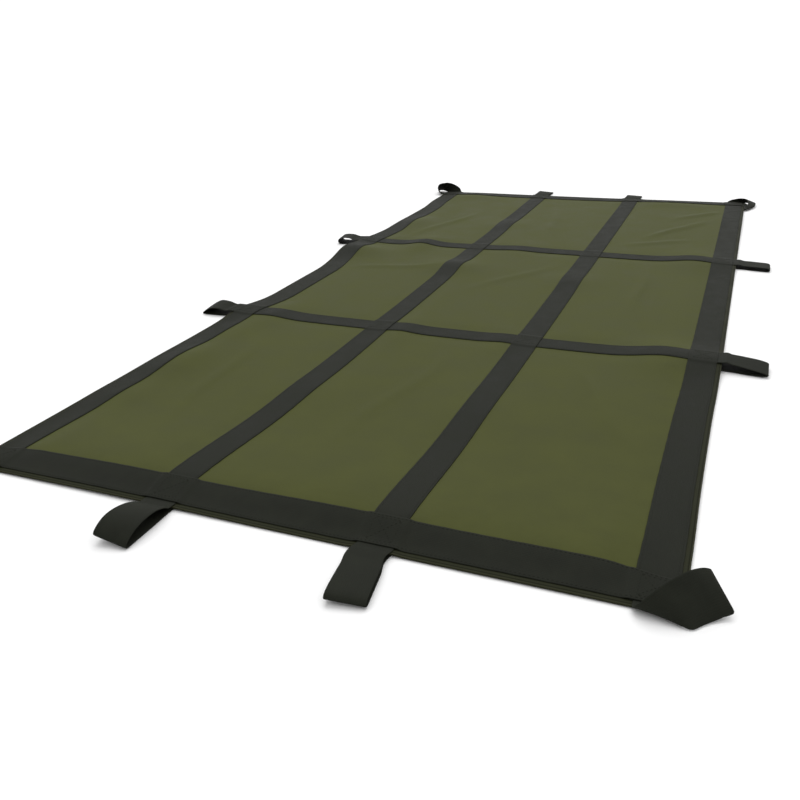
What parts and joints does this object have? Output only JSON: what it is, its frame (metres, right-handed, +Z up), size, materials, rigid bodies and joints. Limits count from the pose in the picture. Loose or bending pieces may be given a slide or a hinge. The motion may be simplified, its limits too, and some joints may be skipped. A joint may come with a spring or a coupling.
{
  "type": "rescue stretcher",
  "caption": "Flat soft rescue stretcher: a coated cloth sheet with sewn webbing straps and carrying loops round its edge and corners, folding along its length.",
  "frame": {"origin": "middle of the sheet, on the floor it lies on", "axes": "+X to the right side, +Y towards the head end, +Z up"},
  "size_m": [1.148, 2.268, 0.0358],
  "materials": {
    "coated_cloth": "matte coated weave",
    "webbing": "ribbed woven webbing",
    "thread": "dull thread"
  },
  "bodies": {
    "centre_panel": {"bottom_ply_centre": "coated_cloth", "top_ply_centre": "coated_cloth", "length_strap_left": "webbing", "length_strap_right": "webbing", "cross_strap_foot_centre": "webbing", "cross_strap_head_centre": "webbing", "end_border_foot_centre": "webbing", "end_border_head_centre": "webbing", "stitching_centre": "thread"},
    "left_panel": {"bottom_ply_left": "coated_cloth", "top_ply_left": "coated_cloth", "side_border_left": "webbing", "cross_strap_foot_left": "webbing", "cross_strap_head_left": "webbing", "end_border_foot_left": "webbing", "end_border_head_left": "webbing", "stitching_left": "thread"},
    "right_panel": {"bottom_ply_right": "coated_cloth", "top_ply_right": "coated_cloth", "side_border_right": "webbing", "cross_strap_foot_right": "webbing", "cross_strap_head_right": "webbing", "end_border_foot_right": "webbing", "end_border_head_right": "webbing", "stitching_right": "thread"},
    "loop_foot_left_body": {"loop_foot_left": "webbing"},
    "loop_foot_right_body": {"loop_foot_right": "webbing"},
    "loop_head_left_body": {"loop_head_left": "webbing"},
    "loop_head_right_body": {"loop_head_right": "webbing"},
    "loop_left_foot_body": {"loop_left_foot": "webbing"},
    "loop_left_head_body": {"loop_left_head": "webbing"},
    "loop_right_foot_body": {"loop_right_foot": "webbing"},
    "loop_right_head_body": {"loop_right_head": "webbing"},
    "corner_loop_foot_left_body": {"corner_loop_foot_left": "webbing"},
    "corner_loop_foot_right_body": {"corner_loop_foot_right": "webbing"},
    "corner_loop_head_left_body": {"corner_loop_head_left": "webbing"},
    "corner_loop_head_right_body": {"corner_loop_head_right": "webbing"}
  },
  "joints": [
    {"name": "left_fold", "type": "hinge", "parent": "centre_panel", "child": "left_panel", "pos_m": [-0.3, 0, 0.024], "axis": [0, 1, 0], "range_deg": [0, 180]},
    {"name": "right_fold", "type": "hinge", "parent": "centre_panel", "child": "right_panel", "pos_m": [0.3, 0, 0.024], "axis": [0, -1, 0], "range_deg": [0, 180]},
    {"name": "loop_foot_left_swing", "type": "hinge", "parent": "centre_panel", "child": "loop_foot_left_body", "pos_m": [-0.153, -1.043, 0.0042], "axis": [1, 0, 0], "range_deg": [-138, 0]},
    {"name": "loop_foot_right_swing", "type": "hinge", "parent": "centre_panel", "child": "loop_foot_right_body", "pos_m": [0.153, -1.043, 0.0042], "axis": [1, 0, 0], "range_deg": [-138, 0]},
    {"name": "loop_head_left_swing", "type": "hinge", "parent": "centre_panel", "child": "loop_head_left_body", "pos_m": [-0.153, 1.043, 0.0042], "axis": [-1, 0, 0], "range_deg": [-138, 0]},
    {"name": "loop_head_right_swing", "type": "hinge", "parent": "centre_panel", "child": "loop_head_right_body", "pos_m": [0.153, 1.043, 0.0042], "axis": [-1, 0, 0], "range_deg": [-138, 0]},
    {"name": "loop_left_foot_swing", "type": "hinge", "parent": "left_panel", "child": "loop_left_foot_body", "pos_m": [-0.503, -0.325, 0.0042], "axis": [0, -1, 0], "range_deg": [-138, 0]},
    {"name": "loop_left_head_swing", "type": "hinge", "parent": "left_panel", "child": "loop_left_head_body", "pos_m": [-0.503, 0.325, 0.0042], "axis": [0, -1, 0], "range_deg": [-138, 0]},
    {"name": "loop_right_foot_swing", "type": "hinge", "parent": "right_panel", "child": "loop_right_foot_body", "pos_m": [0.503, -0.325, 0.0042], "axis": [0, 1, 0], "range_deg": [-138, 0]},
    {"name": "loop_right_head_swing", "type": "hinge", "parent": "right_panel", "child": "loop_right_head_body", "pos_m": [0.503, 0.325, 0.0042], "axis": [0, 1, 0], "range_deg": [-138, 0]},
    {"name": "corner_loop_foot_left_swing", "type": "hinge", "parent": "left_panel", "child": "corner_loop_foot_left_body", "pos_m": [-0.4875, -1.0275, 0.0042], "axis": [0.7071, -0.7071, 0], "range_deg": [-60, 0]},
    {"name": "corner_loop_foot_right_swing", "type": "hinge", "parent": "right_panel", "child": "corner_loop_foot_right_body", "pos_m": [0.4875, -1.0275, 0.0042], "axis": [0.7071, 0.7071, 0], "range_deg": [-60, 0]},
    {"name": "corner_loop_head_left_swing", "type": "hinge", "parent": "left_panel", "child": "corner_loop_head_left_body", "pos_m": [-0.4875, 1.0275, 0.0042], "axis": [-0.7071, -0.7071, 0], "range_deg": [-60, 0]},
    {"name": "corner_loop_head_right_swing", "type": "hinge", "parent": "right_panel", "child": "corner_loop_head_right_body", "pos_m": [0.4875, 1.0275, 0.0042], "axis": [-0.7071, 0.7071, 0], "range_deg": [-60, 0]}
  ]
}
